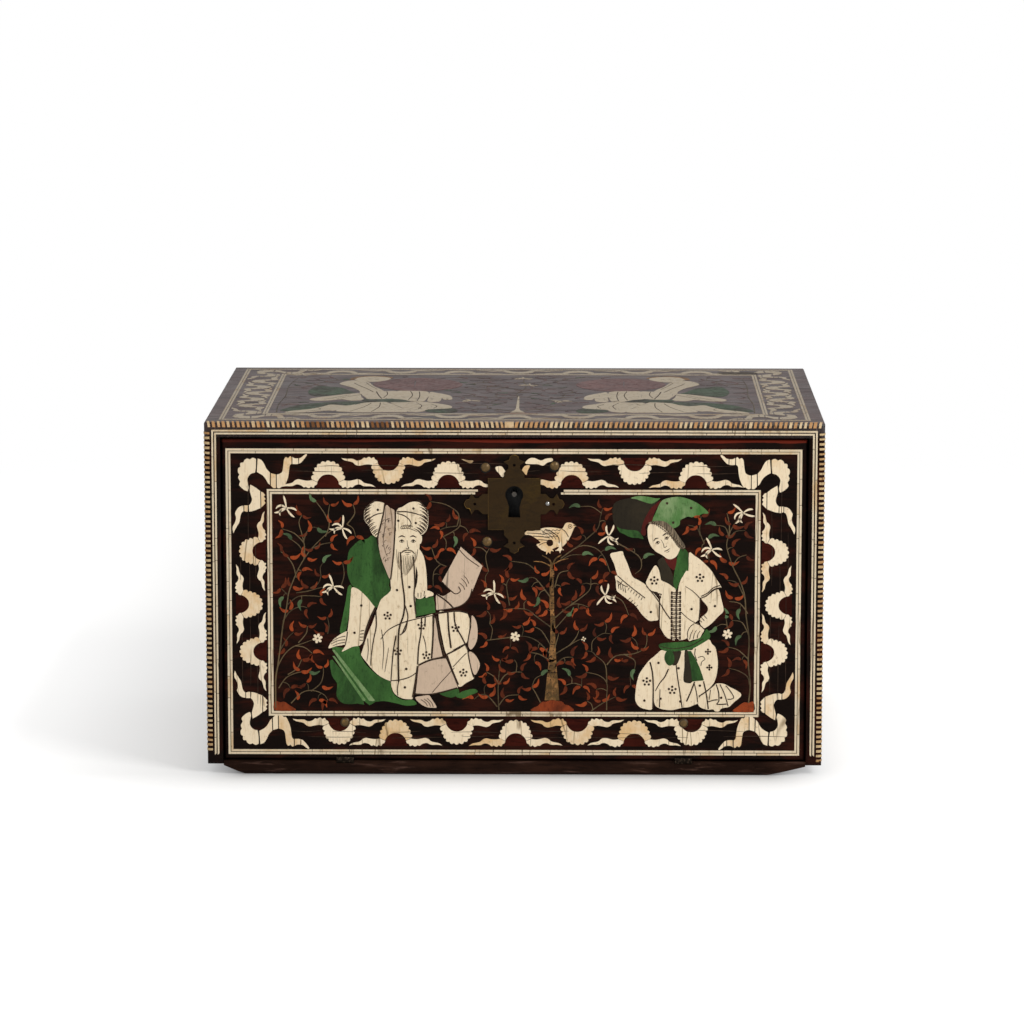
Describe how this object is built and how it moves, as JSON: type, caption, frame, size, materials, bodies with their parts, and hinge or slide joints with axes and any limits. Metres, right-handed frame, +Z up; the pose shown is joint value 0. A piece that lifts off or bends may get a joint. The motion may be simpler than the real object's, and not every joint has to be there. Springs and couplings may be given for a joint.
{
  "type": "table cabinet",
  "caption": "Low wooden table cabinet with a lockable fall front that hinges at its foot, drawers behind it, and inlaid bands on its faces.",
  "frame": {"origin": "on the surface that the cabinet stands on, under the middle of its box", "axes": "+X to the right along the cabinet's width, -Y out of its front, +Z up"},
  "size_m": [0.4, 0.27, 0.232],
  "materials": {
    "inlaid_rosewood": "dark rosewood, waxed, with pale and stained bone let into its face",
    "plain_rosewood": "dark rosewood, plain and waxed",
    "worn_wood": "old brown wood, rubbed and bare at its edges",
    "drawer_wood": "plain light brown wood, planed, with no polish",
    "old_brass": "dark brown old brass, rubbed brighter at its edges",
    "dark_iron": "dark wrought iron, a little rusty"
  },
  "bodies": {
    "carcase": {"top_board": "inlaid_rosewood", "left_side": "inlaid_rosewood", "right_side": "inlaid_rosewood", "back_board": "worn_wood", "base_slab": "worn_wood", "bottom_board": "plain_rosewood", "long_shelf": "plain_rosewood", "left_divider": "plain_rosewood", "right_divider": "plain_rosewood", "left_half_shelf": "plain_rosewood", "right_half_shelf": "plain_rosewood", "strike_plate": "old_brass", "left_base_strap": "dark_iron", "right_base_strap": "dark_iron", "left_hinge_pin": "dark_iron", "right_hinge_pin": "dark_iron"},
    "fall_front": {"front_panel": "inlaid_rosewood", "escutcheon": "old_brass", "lock_case": "dark_iron", "left_panel_strap": "dark_iron", "right_panel_strap": "dark_iron", "left_rivet": "old_brass", "right_rivet": "old_brass"},
    "lock_bolt": {"lock_bolt": "dark_iron"},
    "long_drawer": {"long_drawer_front": "inlaid_rosewood", "long_drawer_left_wall": "drawer_wood", "long_drawer_right_wall": "drawer_wood", "long_drawer_back": "drawer_wood", "long_drawer_floor": "drawer_wood", "long_drawer_knob": "old_brass"},
    "centre_drawer": {"centre_drawer_front": "inlaid_rosewood", "centre_drawer_left_wall": "drawer_wood", "centre_drawer_right_wall": "drawer_wood", "centre_drawer_back": "drawer_wood", "centre_drawer_floor": "drawer_wood", "centre_drawer_knob": "old_brass"},
    "lower_left_drawer": {"lower_left_drawer_front": "inlaid_rosewood", "lower_left_drawer_left_wall": "drawer_wood", "lower_left_drawer_right_wall": "drawer_wood", "lower_left_drawer_back": "drawer_wood", "lower_left_drawer_floor": "drawer_wood", "lower_left_drawer_knob": "old_brass"},
    "lower_right_drawer": {"lower_right_drawer_front": "inlaid_rosewood", "lower_right_drawer_left_wall": "drawer_wood", "lower_right_drawer_right_wall": "drawer_wood", "lower_right_drawer_back": "drawer_wood", "lower_right_drawer_floor": "drawer_wood", "lower_right_drawer_knob": "old_brass"},
    "upper_left_drawer": {"upper_left_drawer_front": "inlaid_rosewood", "upper_left_drawer_left_wall": "drawer_wood", "upper_left_drawer_right_wall": "drawer_wood", "upper_left_drawer_back": "drawer_wood", "upper_left_drawer_floor": "drawer_wood", "upper_left_drawer_knob": "old_brass"},
    "upper_right_drawer": {"upper_right_drawer_front": "inlaid_rosewood", "upper_right_drawer_left_wall": "drawer_wood", "upper_right_drawer_right_wall": "drawer_wood", "upper_right_drawer_back": "drawer_wood", "upper_right_drawer_floor": "drawer_wood", "upper_right_drawer_knob": "old_brass"}
  },
  "joints": [
    {"name": "front_hinge", "type": "hinge", "parent": "carcase", "child": "fall_front", "pos_m": [0, -0.1328, 0.0095], "axis": [1, 0, 0], "range_deg": [0, 92]},
    {"name": "bolt_slide", "type": "slide", "parent": "fall_front", "child": "lock_bolt", "axis": [0, 0, 1], "range_m": [0, 0.006]},
    {"name": "long_drawer_slide", "type": "slide", "parent": "carcase", "child": "long_drawer", "axis": [0, -1, 0], "range_m": [0, 0.19]},
    {"name": "centre_drawer_slide", "type": "slide", "parent": "carcase", "child": "centre_drawer", "axis": [0, -1, 0], "range_m": [0, 0.19]},
    {"name": "lower_left_drawer_slide", "type": "slide", "parent": "carcase", "child": "lower_left_drawer", "axis": [0, -1, 0], "range_m": [0, 0.19]},
    {"name": "lower_right_drawer_slide", "type": "slide", "parent": "carcase", "child": "lower_right_drawer", "axis": [0, -1, 0], "range_m": [0, 0.19]},
    {"name": "upper_left_drawer_slide", "type": "slide", "parent": "carcase", "child": "upper_left_drawer", "axis": [0, -1, 0], "range_m": [0, 0.19]},
    {"name": "upper_right_drawer_slide", "type": "slide", "parent": "carcase", "child": "upper_right_drawer", "axis": [0, -1, 0], "range_m": [0, 0.19]}
  ],
  "couplings": [
    {"joint": "long_drawer_slide", "follows": "front_hinge", "m_per_rad": 0.0155},
    {"joint": "centre_drawer_slide", "follows": "front_hinge", "m_per_rad": 0.103},
    {"joint": "lower_left_drawer_slide", "follows": "front_hinge", "m_per_rad": 0.103},
    {"joint": "lower_right_drawer_slide", "follows": "front_hinge", "m_per_rad": 0.103},
    {"joint": "upper_left_drawer_slide", "follows": "front_hinge", "m_per_rad": 0.118},
    {"joint": "upper_right_drawer_slide", "follows": "front_hinge", "m_per_rad": 0.118}
  ]
}
